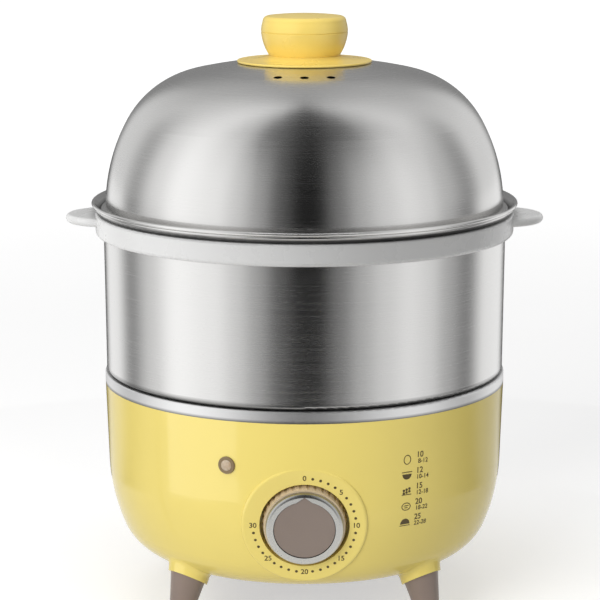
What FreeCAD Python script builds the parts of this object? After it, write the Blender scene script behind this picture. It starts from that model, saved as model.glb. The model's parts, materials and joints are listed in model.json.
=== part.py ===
import FreeCAD, Part

import os
from math import asin, cos, radians, sin, sqrt, tan

# Egg cooker: a timer base on four legs, a steel steamer bowl with a collar, and a domed steel lid.
# Millimetres. +Z is up, the front with the dial faces -Y, and the origin is on the floor under the middle.

# Clearances
SEAT_GAP = 0.2
SLIP_FIT = 0.3
RUNNING_FIT = 0.05

# Base housing
GROUND_CLEARANCE = 27.0
SHELL_RADIUS = 100.2
SHELL_HEIGHT = 86.0
SHELL_WALL = 2.4
SHELL_DRAFT_DEG = 1.9
SHELL_SIDE_RADIUS = 91.0
SHELL_SIDE_END_DEG = 22.4
SHELL_CORNER_RADIUS = 24.0
SHELL_FLOOR = 4.0
SHELL_LEDGE = 2.4

# Metal band, water pan and its seal on top of the housing
TRIM_HEIGHT = 5.7
TRIM_BAND = 1.6
TRIM_FLANGE = 1.2
TRIM_EDGE_RADIUS = 0.9
PAN_SHELF = 16.2
PAN_WALL = 1.2
PAN_TIMER_CLEARANCE = 5.6
PAN_CORNER_RADIUS = 4.0
PAN_SIDE_CLEARANCE = 2.8

# Heater under the pan
SPREADER_INSET = 26.0
SPREADER_THICKNESS = 3.0
HEATER_INSET = 36.0
HEATER_TUBE_RADIUS = 3.3
HEATER_SWEEP_DEG = 300.0
HEATER_PIN_RADIUS = 1.6
HEATER_PIN_INSET = 2.4
HEATER_PIN_LENGTH = 12.0
THERMOSTAT_RADIUS = 8.5
THERMOSTAT_HEIGHT = 10.0
THERMOSTAT_CAP = 3.0
THERMOSTAT_CAP_INSET = 2.5
FUSE_RADIUS = 2.2
FUSE_LENGTH = 13.0
FUSE_OFFSET = 26.0

# Bottom cover
COVER_OPENING_RADIUS = 56.0
COVER_LAP = 6.0
COVER_THICKNESS = 2.0
COVER_SCREW_COUNT = 4
COVER_SCREW_RADIUS = 1.5
COVER_BOSS_RADIUS = 3.4
COVER_BOSS_HEIGHT = 8.0
VENT_COUNT = 12
VENT_INNER_RADIUS = 14.0
VENT_LENGTH = 14.0
VENT_WIDTH = 3.0

# Legs, leaning outward, with their upper end cut on a slope
LEG_NAMES = ("rear_right", "rear_left", "front_left", "front_right")
LEG_FIRST_AZIMUTH_DEG = 45.0
LEG_INSET = 19.6
LEG_LEAN_DEG = 16.5
LEG_CUT_DEG = 30.0
LEG_TOP_RADIUS = 8.6
LEG_FOOT_RADIUS = 4.2
LEG_SCREW_RADIUS = 2.0
LEG_SCREW_DEPTH = 13.0
PAD_HEIGHT = 2.2
STUB_DROP = 2.0
STUB_LIP = 1.4
STUB_FLARE_DEG = 7.0
STUB_LENGTH = 16.0
STUB_BLEND = 3.0

# Dial boss on the front of the housing, facing slightly downward
DIAL_HEIGHT = 35.5
DIAL_DEPTH = 5.7
DIAL_TILT_DEG = 10.0
BOSS_RADIUS = 30.0
BOSS_THICKNESS = 5.5
BOSS_EDGE_RADIUS = 1.5
POCKET_DEPTH = 8.0
POCKET_CLEARANCE = 1.1
POCKET_WALL = 2.2

# Dial knob
GRIP_RADIUS = 20.2
GRIP_TAPER = 1.0
GRIP_LIFT = 2.6
GRIP_HEIGHT = 7.2
GRIP_BOSS_HEIGHT = 1.0
FLUTE_COUNT = 34
FLUTE_RADIUS = 1.3
FLUTE_DEPTH = 1.0
RING_SETBACK = 0.8
RING_WIDTH = 3.7
RING_HEIGHT = 3.4
RING_EDGE_RADIUS = 1.6
CAP_THICKNESS = 2.0
CAP_GAP = 0.3
BEAK_REACH = 2.3
BEAK_HALF_ANGLE_DEG = 15.0

# Clockwork timer behind the dial
SHAFT_RADIUS = 3.0
SHAFT_HOLE_CLEARANCE = 0.6
SHAFT_SOCKET = 10.0
SHAFT_GRIP = 7.0
TIMER_WIDTH = 36.0
TIMER_TALL = 34.0
TIMER_DEPTH = 24.0
TIMER_SCREW_RADIUS = 1.5
TIMER_SCREW_SPREAD = 26.0
TIMER_SCREW_DEPTH = 6.0
BELL_RADIUS = 14.0
BELL_WALL = 1.0
BELL_SKIRT = 4.0
BELL_STEM_RADIUS = 2.5
BELL_STEM = 5.0

# Indicator lamp, to the left of the dial
LAMP_AZIMUTH_DEG = -21.5
LAMP_DROP = 21.5
LAMP_BARREL_RADIUS = 3.2
LAMP_FLANGE = 1.0
LAMP_PROUD = 1.0
LAMP_EDGE_RADIUS = 0.5
LAMP_BARREL = 5.0
LENS_RADIUS = 2.6
LENS_DOME = 0.5
LENS_LENGTH = 2.6
BULB_RADIUS = 1.7
BULB_LENGTH = 4.0

# Cord gland at the back
GLAND_HEIGHT = 27.0
GLAND_RADIUS = 8.0
GLAND_BORE = 3.5
GLAND_INNER_BORE = 4.2
GLAND_NOSE = 5.0
GLAND_NOSE_RADIUS = 6.4
GLAND_SEAT = 4.0
GLAND_FLANGE = 1.8
GLAND_FLANGE_THICKNESS = 2.0

# Terminal block and inner leads
BLOCK_WIDTH = 28.0
BLOCK_DEPTH = 12.0
BLOCK_HEIGHT = 12.0
BLOCK_REAR = 34.0
LEAD_RADIUS = 1.2
LEAD_BEND = 6.0
LEAD_SPREAD = 9.0
LEAD_LEVEL = 14.0

# Screw heads
SCREW_HEAD = 1.6
SCREW_HEAD_LAP = 1.3

# Steamer bowl
BOWL_STEP = 0.2
BOWL_DRAFT = 0.6
BOWL_WALL = 0.7
BOWL_HEIGHT = 85.0
BOWL_CORNER_RADIUS = 2.2
NEST_CLEARANCE = 2.0
NEST_WATER_DEPTH = 11.3
NEST_CORNER_RADIUS = 3.0
STEAM_HOLE_RADIUS = 3.0
STEAM_RING_PITCH = 20.0
STEAM_RINGS = 3
STEAM_HOLES_PER_RING = 6

# Flared rim of the bowl: seat for the lid, bead and rolled lip
RIM_DEPTH = 4.7
RIM_FLARE = 5.85
RIM_LIP_RADIUS = 0.85
RIM_LIP_START_DEG = -130.0
RIM_LIP_END_DEG = 135.0
RIM_BEAD_RADIUS = 0.8
RIM_BEAD_START_DEG = -70.0
RIM_BEAD_END_DEG = 60.0
RIM_BEAD_DROP = 2.6
RIM_BEAD_INSET = 1.35
RIM_SEAT_WIDTH = 2.3
RIM_SHEET = 0.8

# White collar with two ear handles
COLLAR_THICKNESS = 3.7
COLLAR_HEIGHT = 10.6
COLLAR_EDGE_RADIUS = 2.0
EAR_RADIUS = 22.0
EAR_REACH = 19.0
EAR_ROOT = 7.0
EAR_TIP = 4.2

# Egg rack lying on the bowl's shoulder
RACK_CLEARANCE = 1.2
RACK_THICKNESS = 1.6
EGG_HOLE_RADIUS = 18.0
EGG_RING_RADIUS = 54.0
EGG_RING_COUNT = 6
RACK_VENT_RADIUS = 4.0
RACK_VENT_INNER = 31.0
RACK_VENT_OUTER = 80.0
TAB_HALF_WIDTH = 9.0
TAB_STRAIGHT = 7.0
TAB_INSET = 8.0

# Lid
LID_CLEARANCE = 0.5
LID_WALL = 0.7
LID_LIP = 1.0
LID_SKIRT = 5.6
LID_SIDE_START_DEG = 2.8
LID_SIDE_RADIUS = 89.4
LID_SIDE_END_DEG = 28.9
LID_SHOULDER_RADIUS = 49.0
LID_SHOULDER_END_DEG = 77.9
LID_VENT_RADIUS = 2.0
LID_VENT_CIRCLE = 50.0
LID_VENT_SPREAD_DEG = 14.6
LID_VENT_COUNT = 3

# Lid knob
KNOB_FLANGE_RADIUS = 33.3
KNOB_FLANGE_EDGE = 1.2
KNOB_FLANGE_SAG = 0.8
KNOB_NECK_RADIUS = 17.5
KNOB_NECK_RISE = 1.0
KNOB_RADIUS = 21.4
KNOB_LOWER_HEIGHT = 11.6
KNOB_SWELL_INSET = 1.4
KNOB_SWELL_LEVEL = 5.0
KNOB_CAP_HEIGHT = 8.6
KNOB_CAP_SIDE = 5.0
KNOB_CAP_DRAFT = 0.8
KNOB_CAP_CORNER = 2.6
KNOB_CAP_CORNER_DEG = 78.0
KNOB_SEAM = 0.3
GASKET_RADIUS = 15.0
GASKET_THICKNESS = 0.6
LID_SCREW_RADIUS = 1.5
LID_SCREW_DEPTH = 8.0

# Levels and radii that follow from the sizes above
SHELL_BOTTOM = GROUND_CLEARANCE
SHELL_TOP = SHELL_BOTTOM + SHELL_HEIGHT
FLOOR_TOP = SHELL_BOTTOM + SHELL_FLOOR
COVER_TOP = SHELL_BOTTOM + COVER_THICKNESS
TRIM_TOP = SHELL_TOP + TRIM_HEIGHT
PAN_RADIUS = SHELL_RADIUS - PAN_SHELF
PAN_FLANGE_TOP = TRIM_TOP - TRIM_FLANGE
DIAL_RADIUS = SHELL_RADIUS - DIAL_DEPTH
DIAL_LEVEL = SHELL_BOTTOM + DIAL_HEIGHT
POCKET_RADIUS = GRIP_RADIUS + POCKET_CLEARANCE
POCKET_BACK = -POCKET_DEPTH - POCKET_WALL
TIMER_BACK = POCKET_BACK - TIMER_DEPTH
TIMER_TOP = (DIAL_LEVEL + TIMER_TALL / 2 * cos(radians(DIAL_TILT_DEG))
             - TIMER_BACK * sin(radians(DIAL_TILT_DEG)))
PAN_FLOOR_BOTTOM = TIMER_TOP + PAN_TIMER_CLEARANCE
PAN_FLOOR_TOP = PAN_FLOOR_BOTTOM + PAN_WALL
LEDGE_RADIUS = PAN_RADIUS + PAN_WALL + PAN_SIDE_CLEARANCE
BAND_INNER_RADIUS = SHELL_RADIUS - TRIM_BAND
SPREADER_RADIUS = PAN_RADIUS - SPREADER_INSET
SPREADER_BOTTOM = PAN_FLOOR_BOTTOM - SPREADER_THICKNESS
HEATER_RING_RADIUS = PAN_RADIUS - HEATER_INSET
HEATER_LEVEL = SPREADER_BOTTOM - HEATER_TUBE_RADIUS - RUNNING_FIT
COVER_RADIUS = COVER_OPENING_RADIUS + COVER_LAP
COVER_SCREW_CIRCLE = COVER_OPENING_RADIUS + COVER_LAP / 2
BOWL_RADIUS = SHELL_RADIUS - BOWL_STEP
BOWL_FOOT_RADIUS = BOWL_RADIUS - BOWL_DRAFT
BOWL_INNER_RADIUS = BOWL_RADIUS - BOWL_WALL
BOWL_BOTTOM = TRIM_TOP + SEAT_GAP
SHOULDER_TOP = BOWL_BOTTOM + BOWL_WALL
NEST_RADIUS = PAN_RADIUS - NEST_CLEARANCE
NEST_BOTTOM = PAN_FLOOR_TOP + NEST_WATER_DEPTH
RIM_TOP = BOWL_BOTTOM + BOWL_HEIGHT
RIM_RADIUS = BOWL_RADIUS + RIM_FLARE
LID_SEAT = RIM_TOP - RIM_DEPTH
SEAT_RADIUS = BOWL_INNER_RADIUS + RIM_SEAT_WIDTH
COLLAR_TOP = LID_SEAT - BOWL_WALL - SLIP_FIT
LID_BOTTOM = LID_SEAT + SEAT_GAP
LID_RADIUS = BOWL_INNER_RADIUS - LID_CLEARANCE
LEG_JOINT_RADIUS = SHELL_RADIUS - LEG_INSET
LEG_JOINT_LEVEL = SHELL_BOTTOM - STUB_DROP

vec = FreeCAD.Vector
ORIGIN = vec(0, 0, 0)
UP = vec(0, 0, 1)
HALF_TURN = FreeCAD.Rotation(vec(1, 0, 0), 180)
HALF_SPACE = 3 * (SHELL_RADIUS + SHELL_HEIGHT)

nodes = {}


# Small drawing helpers

def outline(start, *steps):
    """Face in the XZ plane from (radius, height) points; an arc is a (middle, end) pair of points."""
    edges = []
    here = vec(start[0], 0, start[1])
    first = here
    for step in steps:
        if isinstance(step[0], tuple):
            middle, end = (vec(p[0], 0, p[1]) for p in step)
            edges.append(Part.Arc(here, middle, end).toShape())
        else:
            end = vec(step[0], 0, step[1])
            edges.append(Part.LineSegment(here, end).toShape())
        here = end
    if not here.isEqual(first, 1e-6):
        edges.append(Part.LineSegment(here, first).toShape())
    return Part.Face(Part.Wire(edges))


def turned(start, *steps):
    """Solid of revolution about Z from an outline."""
    return outline(start, *steps).revolve(ORIGIN, UP, 360)


def rod(radius, low, high, x=0.0, y=0.0):
    """Upright cylinder between two levels."""
    return Part.makeCylinder(radius, high - low, vec(x, y, low))


def ring(inner, outer, low, high):
    """Flat ring about Z between two levels."""
    return rod(outer, low, high).cut(rod(inner, low, high))


def block(width, depth, height, low_centre):
    """Box standing on the middle of its bottom face."""
    corner = low_centre - vec(width / 2, depth / 2, 0)
    return Part.makeBox(width, depth, height, corner)


def polar(centre, radius, angle, side):
    """Point on an arc's circle; side is +1 for a normal that turns up and -1 for one that turns down."""
    return (centre[0] + radius * cos(angle), centre[1] + side * radius * sin(angle))


def tangent_arcs(start, angle, arcs, side):
    """Steps of (radius, end angle) arcs that leave start along the wall, and the last arc's centre."""
    steps = []
    here = start
    for radius, end_angle in arcs:
        centre = (here[0] - radius * cos(angle), here[1] - side * radius * sin(angle))
        middle = polar(centre, radius, (angle + end_angle) / 2, side)
        here = polar(centre, radius, end_angle, side)
        steps.append((middle, here))
        angle = end_angle
    return steps, centre


def corner_arc(centre, radius, start_deg, end_deg):
    """One arc step about a centre, given by its angles in the XZ plane."""
    middle = polar(centre, radius, radians((start_deg + end_deg) / 2), 1)
    return middle, polar(centre, radius, radians(end_deg), 1)


def dome(edge, top):
    """Arc step from an edge point up to a top on the axis, on a sphere centred on the axis."""
    rise = top - edge[1]
    radius = (edge[0] ** 2 + rise ** 2) / (2 * rise)
    half_turn = asin(edge[0] / radius) / 2
    return (radius * sin(half_turn), top - radius * (1 - cos(half_turn))), (0, top)


def beyond(origin, direction):
    """Everything on the far side of a plane through origin, out to well past the object."""
    return Part.makeCylinder(HALF_SPACE, HALF_SPACE, origin, direction)


def around(shape, count, first_deg=0.0):
    """Copies of a shape spaced evenly about Z."""
    return [shape.rotated(ORIGIN, UP, first_deg + 360.0 * k / count) for k in range(count)]


def joined(base, others):
    """One solid from overlapping solids, with leftover seams removed."""
    return base.fuse(others).removeSplitter()


def placed(shape, placement):
    """Copy of a shape in another place."""
    moved = shape.copy()
    moved.Placement = placement.multiply(moved.Placement)
    return moved


def screw(radius, length, placement):
    """Pan-head screw: head on top of the local origin, shank down local -Z."""
    edge = (radius + SCREW_HEAD_LAP, SCREW_HEAD / 2)
    head = turned((0, 0), (edge[0], 0), edge, dome(edge, SCREW_HEAD))
    return placed(joined(head, [rod(radius, -length, 0)]), placement)


def lead(points):
    """Insulated wire along straight runs with rounded corners."""
    edges = []
    here = points[0]
    for corner, after in zip(points[1:-1], points[2:]):
        into = (corner - here).normalize()
        out = (after - corner).normalize()
        half_turn = into.getAngle(out) / 2
        setback = LEAD_BEND * tan(half_turn)
        begin = corner - into * setback
        end = corner + out * setback
        bisector = (out - into).normalize()
        middle = corner + bisector * (LEAD_BEND / cos(half_turn) - LEAD_BEND)
        edges.append(Part.LineSegment(here, begin).toShape())
        edges.append(Part.Arc(begin, middle, end).toShape())
        here = end
    edges.append(Part.LineSegment(here, points[-1]).toShape())
    path = Part.Wire(edges)
    section = Part.Wire(Part.makeCircle(LEAD_RADIUS, points[0], points[1] - points[0]))
    return path.makePipeShell([section], True, False)


# Places that several pieces share

dial_place = FreeCAD.Placement(vec(0, -DIAL_RADIUS, DIAL_LEVEL),
                               FreeCAD.Rotation(vec(1, 0, 0), 90 + DIAL_TILT_DEG))

lamp_turn = radians(LAMP_AZIMUTH_DEG)
LAMP_LEVEL = SHELL_TOP - LAMP_DROP
LAMP_WALL_RADIUS = SHELL_RADIUS - LAMP_DROP * tan(radians(SHELL_DRAFT_DEG))
lamp_place = FreeCAD.Placement(
    vec(LAMP_WALL_RADIUS * sin(lamp_turn), -LAMP_WALL_RADIUS * cos(lamp_turn), LAMP_LEVEL),
    FreeCAD.Rotation(UP, LAMP_AZIMUTH_DEG).multiply(FreeCAD.Rotation(vec(1, 0, 0), 90)))


# Base housing

def shell_side(inset):
    """Outer wall line of the housing moved inward: start of its bend, arc steps and last centre."""
    draft = radians(SHELL_DRAFT_DEG)
    side_end = radians(SHELL_SIDE_END_DEG)
    bend_drop = SHELL_SIDE_RADIUS * (sin(side_end) - sin(draft)) + SHELL_CORNER_RADIUS * (1 - sin(side_end))
    level = SHELL_BOTTOM + bend_drop
    radius = SHELL_RADIUS - (SHELL_TOP - level) * tan(draft)
    start = (radius - inset * cos(draft), level + inset * sin(draft))
    last_angle = radians(90)
    if inset:
        corner_level = SHELL_BOTTOM + SHELL_CORNER_RADIUS
        last_angle = asin((corner_level - FLOOR_TOP) / (SHELL_CORNER_RADIUS - inset))
    arcs = [(SHELL_SIDE_RADIUS - inset, side_end), (SHELL_CORNER_RADIUS - inset, last_angle)]
    steps, centre = tangent_arcs(start, draft, arcs, -1)
    return start, steps, centre


def wall_radius_at(level, inset=0.0):
    """Radius of the housing's wall on its large side arc."""
    start, steps, centre = shell_side(inset)
    draft = radians(SHELL_DRAFT_DEG)
    arc = SHELL_SIDE_RADIUS - inset
    arc_centre = (start[0] - arc * cos(draft), start[1] + arc * sin(draft))
    return arc_centre[0] + sqrt(arc ** 2 - (arc_centre[1] - level) ** 2)


def leg_axis():
    """Joint centre of a leg at azimuth 0 and the direction down the leg."""
    lean = radians(LEG_LEAN_DEG)
    return vec(LEG_JOINT_RADIUS, 0, LEG_JOINT_LEVEL), vec(sin(lean), 0, -cos(lean))


def leg_cut_normal():
    """Upward normal of the sloping joint face between a leg and its stub."""
    slope = radians(LEG_CUT_DEG)
    return vec(-sin(slope), 0, cos(slope))


def leg_stub():
    """Stub of the housing over a leg at azimuth 0, ending at the sloping joint face."""
    joint, down = leg_axis()
    flare = tan(radians(STUB_FLARE_DEG))
    radius = LEG_TOP_RADIUS + STUB_LIP
    overrun = radius
    cone = Part.makeCone(radius - overrun * flare, radius + STUB_LENGTH * flare, overrun + STUB_LENGTH,
                         joint + down * overrun, down * -1)
    return cone.common(beyond(joint, leg_cut_normal()))


def seam_edges(body, first, second):
    """Edges of a joined body that lie on the surfaces of both solids it was joined from."""
    found = []
    for edge in body.Edges:
        middle = Part.Vertex(edge.valueAt((edge.FirstParameter + edge.LastParameter) / 2))
        gaps = [middle.distToShape(solid.Shells[0])[0] for solid in (first, second)]
        if max(gaps) < 1e-3:
            found.append(edge)
    return found


def base_shell():
    start, steps, _ = shell_side(0.0)
    outer = turned((0, SHELL_TOP), (SHELL_RADIUS, SHELL_TOP), start, *steps, (0, SHELL_BOTTOM))
    stubs = around(leg_stub(), len(LEG_NAMES), LEG_FIRST_AZIMUTH_DEG)
    for stub in stubs:
        body = outer.fuse(stub)
        outer = body.makeFillet(STUB_BLEND, seam_edges(body, outer, stub))

    face_radius = BOSS_RADIUS - BOSS_EDGE_RADIUS
    recess = placed(rod(face_radius, 0, BOSS_RADIUS), dial_place)
    boss = turned((0, -BOSS_THICKNESS), (BOSS_RADIUS, -BOSS_THICKNESS), (BOSS_RADIUS, -BOSS_EDGE_RADIUS),
                  corner_arc((face_radius, -BOSS_EDGE_RADIUS), BOSS_EDGE_RADIUS, 0, 90), (0, 0))
    boss = placed(boss, dial_place)
    cup = placed(rod(POCKET_RADIUS + POCKET_WALL, POCKET_BACK, -BOSS_THICKNESS / 2), dial_place)
    outer = joined(outer.cut(recess), [boss])

    start, steps, _ = shell_side(SHELL_WALL)
    top_level = SHELL_TOP - SHELL_LEDGE
    top_radius = start[0] + (top_level - start[1]) * tan(radians(SHELL_DRAFT_DEG))
    cavity = turned((0, top_level), (top_radius, top_level), start, *steps, (0, FLOOR_TOP))
    cover_boss = rod(COVER_BOSS_RADIUS, COVER_TOP, COVER_TOP + COVER_BOSS_HEIGHT, COVER_SCREW_CIRCLE)
    cover_bosses = around(cover_boss, COVER_SCREW_COUNT)
    cavity = cavity.cut(stubs + [boss, cup] + cover_bosses)
    openings = [rod(LEDGE_RADIUS, top_level, SHELL_TOP),
                rod(COVER_OPENING_RADIUS, SHELL_BOTTOM, FLOOR_TOP).cut(cover_bosses),
                rod(COVER_RADIUS + SLIP_FIT, SHELL_BOTTOM, COVER_TOP)]
    shell = outer.cut([cavity] + openings)

    joint, down = leg_axis()
    leg_hole = Part.makeCylinder(LEG_SCREW_RADIUS + SLIP_FIT, 2 * STUB_LENGTH,
                                 joint + down * STUB_LENGTH, down * -1)
    cover_hole = rod(COVER_SCREW_RADIUS + RUNNING_FIT, COVER_TOP, COVER_TOP + COVER_BOSS_HEIGHT,
                     COVER_SCREW_CIRCLE)
    pocket = rod(POCKET_RADIUS, -POCKET_DEPTH, BOSS_RADIUS)
    dial_holes = [rod(SHAFT_RADIUS + SHAFT_HOLE_CLEARANCE, POCKET_BACK, 0)]
    for x in (-TIMER_SCREW_SPREAD / 2, TIMER_SCREW_SPREAD / 2):
        dial_holes.append(rod(TIMER_SCREW_RADIUS + SLIP_FIT, POCKET_BACK, 0, x))
    lamp_hole = rod(LAMP_BARREL_RADIUS + RUNNING_FIT, -3 * SHELL_WALL, 3 * SHELL_WALL)
    gland_hole = rod(GLAND_RADIUS + RUNNING_FIT, -gland_wall_inset(), GLAND_RADIUS)
    holes = around(leg_hole, len(LEG_NAMES), LEG_FIRST_AZIMUTH_DEG) + around(cover_hole, COVER_SCREW_COUNT)
    holes += [placed(hole, dial_place) for hole in [pocket] + dial_holes]
    holes += [placed(lamp_hole, lamp_place), placed(gland_hole, gland_place())]
    nodes["base_shell"] = shell.cut(holes).removeSplitter()


def legs_and_pads():
    joint, down = leg_axis()
    length = LEG_JOINT_LEVEL / -down.z
    taper = (LEG_TOP_RADIUS - LEG_FOOT_RADIUS) / length
    overrun = LEG_TOP_RADIUS
    cone = Part.makeCone(LEG_TOP_RADIUS + overrun * taper, LEG_FOOT_RADIUS - overrun * taper,
                         length + 2 * overrun, joint - down * overrun, down)
    pad_top = vec(0, 0, PAD_HEIGHT)
    leg = cone.common(beyond(joint, leg_cut_normal() * -1)).common(beyond(pad_top, UP))
    bore = Part.makeCylinder(LEG_SCREW_RADIUS + RUNNING_FIT, 2 * LEG_SCREW_DEPTH,
                             joint + down * LEG_SCREW_DEPTH, down * -1)
    leg = leg.cut(bore)
    pad = cone.common(beyond(pad_top, UP * -1)).common(beyond(ORIGIN, UP))
    copies = zip(LEG_NAMES, around(leg, len(LEG_NAMES), LEG_FIRST_AZIMUTH_DEG),
                 around(pad, len(LEG_NAMES), LEG_FIRST_AZIMUTH_DEG))
    for name, leg_copy, pad_copy in copies:
        nodes["leg_" + name] = leg_copy
        nodes["foot_pad_" + name] = pad_copy

    head_seat = FreeCAD.Placement(joint - down * STUB_LENGTH, FreeCAD.Rotation(UP, down * -1))
    one_screw = screw(LEG_SCREW_RADIUS, STUB_LENGTH + LEG_SCREW_DEPTH - SLIP_FIT, head_seat)
    nodes["leg_screws"] = Part.makeCompound(around(one_screw, len(LEG_NAMES), LEG_FIRST_AZIMUTH_DEG))


def bottom_cover():
    slot_end = VENT_INNER_RADIUS + VENT_LENGTH
    slot_middle = vec((VENT_INNER_RADIUS + slot_end) / 2, 0, SHELL_BOTTOM)
    slot = block(VENT_LENGTH, VENT_WIDTH, COVER_THICKNESS, slot_middle)
    ends = [rod(VENT_WIDTH / 2, SHELL_BOTTOM, COVER_TOP, x) for x in (VENT_INNER_RADIUS, slot_end)]
    vents = around(slot.fuse(ends), VENT_COUNT)
    hole = rod(COVER_SCREW_RADIUS + SLIP_FIT, SHELL_BOTTOM, COVER_TOP, COVER_SCREW_CIRCLE)
    cover = rod(COVER_RADIUS, SHELL_BOTTOM, COVER_TOP)
    nodes["bottom_cover"] = cover.cut(vents + around(hole, COVER_SCREW_COUNT))

    upside_down = FreeCAD.Placement(vec(COVER_SCREW_CIRCLE, 0, SHELL_BOTTOM), HALF_TURN)
    one_screw = screw(COVER_SCREW_RADIUS, COVER_THICKNESS + COVER_BOSS_HEIGHT - SLIP_FIT, upside_down)
    nodes["bottom_screws"] = Part.makeCompound(around(one_screw, COVER_SCREW_COUNT))


# Band, pan and heater

def trim_and_pan():
    edge_centre = (SHELL_RADIUS - TRIM_EDGE_RADIUS, TRIM_TOP - TRIM_EDGE_RADIUS)
    nodes["trim_ring"] = turned(
        (BAND_INNER_RADIUS, SHELL_TOP), (SHELL_RADIUS, SHELL_TOP), (SHELL_RADIUS, edge_centre[1]),
        corner_arc(edge_centre, TRIM_EDGE_RADIUS, 0, 90), (LEDGE_RADIUS, TRIM_TOP),
        (LEDGE_RADIUS, PAN_FLANGE_TOP), (BAND_INNER_RADIUS, PAN_FLANGE_TOP))

    flange_radius = BAND_INNER_RADIUS - SLIP_FIT
    flange_bottom = PAN_FLANGE_TOP - PAN_WALL
    outside = PAN_RADIUS + PAN_WALL
    bend = (PAN_RADIUS - PAN_CORNER_RADIUS, PAN_FLOOR_TOP + PAN_CORNER_RADIUS)
    nodes["heating_pan"] = turned(
        (0, PAN_FLOOR_TOP), (bend[0], PAN_FLOOR_TOP), corner_arc(bend, PAN_CORNER_RADIUS, -90, 0),
        (PAN_RADIUS, PAN_FLANGE_TOP), (flange_radius, PAN_FLANGE_TOP), (flange_radius, flange_bottom),
        (outside, flange_bottom), (outside, bend[1]),
        corner_arc(bend, PAN_CORNER_RADIUS + PAN_WALL, 0, -90), (0, PAN_FLOOR_BOTTOM))
    nodes["pan_seal"] = ring(LEDGE_RADIUS, flange_radius, SHELL_TOP, flange_bottom)


def heater():
    nodes["heat_spreader"] = rod(SPREADER_RADIUS, SPREADER_BOTTOM, PAN_FLOOR_BOTTOM)

    gap_deg = 360.0 - HEATER_SWEEP_DEG
    section_centre = vec(HEATER_RING_RADIUS, 0, HEATER_LEVEL)
    section = Part.Face(Part.Wire(Part.makeCircle(HEATER_TUBE_RADIUS, section_centre, vec(0, 1, 0))))
    tube = section.revolve(ORIGIN, UP, HEATER_SWEEP_DEG).rotated(ORIGIN, UP, 90 + gap_deg / 2)
    pins = [rod(HEATER_PIN_RADIUS, end.z - HEATER_PIN_LENGTH, end.z, end.x, end.y) for end in heater_ends()]
    nodes["heating_tube"] = joined(tube, pins)

    can_bottom = SPREADER_BOTTOM - THERMOSTAT_HEIGHT
    can = rod(THERMOSTAT_RADIUS, can_bottom, SPREADER_BOTTOM)
    cap = rod(THERMOSTAT_RADIUS - THERMOSTAT_CAP_INSET, can_bottom - THERMOSTAT_CAP, can_bottom)
    nodes["thermostat"] = joined(can, [cap])
    fuse_start = vec(FUSE_OFFSET, -FUSE_LENGTH / 2, SPREADER_BOTTOM - FUSE_RADIUS - RUNNING_FIT)
    nodes["thermal_fuse"] = Part.makeCylinder(FUSE_RADIUS, FUSE_LENGTH, fuse_start, vec(0, 1, 0))


def heater_ends():
    """Centres of the heater tube a little inside its two ends, left then right."""
    half_gap = radians(360.0 - HEATER_SWEEP_DEG) / 2
    turn = half_gap + HEATER_PIN_INSET / HEATER_RING_RADIUS
    x = HEATER_RING_RADIUS * sin(turn)
    y = HEATER_RING_RADIUS * cos(turn)
    return vec(-x, y, HEATER_LEVEL), vec(x, y, HEATER_LEVEL)


# Dial and timer, drawn with the dial axis along local Z and the boss face at local zero

def cap_outline(gap):
    """Round cap outline with a pointed beak at the top, grown by a gap."""
    radius = GRIP_RADIUS - GRIP_TAPER - RING_SETBACK - RING_WIDTH - CAP_GAP + gap
    spread = radians(BEAK_HALF_ANGLE_DEG)
    left = vec(-radius * sin(spread), radius * cos(spread), 0)
    right = vec(-left.x, left.y, 0)
    tip = vec(0, radius + BEAK_REACH, 0)
    edges = [Part.LineSegment(left, tip).toShape(), Part.LineSegment(tip, right).toShape(),
             Part.Arc(right, vec(0, -radius, 0), left).toShape()]
    return Part.Face(Part.Wire(edges))


def dial():
    back = -POCKET_DEPTH + GRIP_LIFT
    shoulder = back + GRIP_HEIGHT
    platform = shoulder + GRIP_BOSS_HEIGHT
    top_radius = GRIP_RADIUS - GRIP_TAPER
    ring_outer = top_radius - RING_SETBACK
    ring_inner = ring_outer - RING_WIDTH
    platform_radius = ring_inner - CAP_GAP - SLIP_FIT
    grip = turned((0, back), (GRIP_RADIUS, back), (top_radius, shoulder), (platform_radius, shoulder),
                  (platform_radius, platform), (0, platform))
    flute_circle = GRIP_RADIUS + FLUTE_RADIUS - FLUTE_DEPTH
    flutes = around(rod(FLUTE_RADIUS, back, shoulder, flute_circle), FLUTE_COUNT)
    socket = rod(SHAFT_RADIUS + RUNNING_FIT, back, back + SHAFT_GRIP + SLIP_FIT)
    nodes["dial_grip"] = placed(grip.cut(flutes + [socket]), dial_place)

    front = shoulder + RING_HEIGHT
    edge = RING_EDGE_RADIUS
    band = turned((0, shoulder), (ring_outer, shoulder), (ring_outer, front - edge),
                  corner_arc((ring_outer - edge, front - edge), edge, 0, 90), (0, front))
    window = cap_outline(CAP_GAP).extrude(vec(0, 0, RING_HEIGHT))
    window.translate(vec(0, 0, shoulder))
    nodes["dial_ring"] = placed(band.cut(window), dial_place)

    cap = cap_outline(0.0).extrude(vec(0, 0, CAP_THICKNESS))
    cap.translate(vec(0, 0, platform))
    nodes["dial_cap"] = placed(cap, dial_place)

    shaft = rod(SHAFT_RADIUS, POCKET_BACK - SHAFT_SOCKET + SLIP_FIT, back + SHAFT_GRIP)
    nodes["timer_shaft"] = placed(shaft, dial_place)


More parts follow.
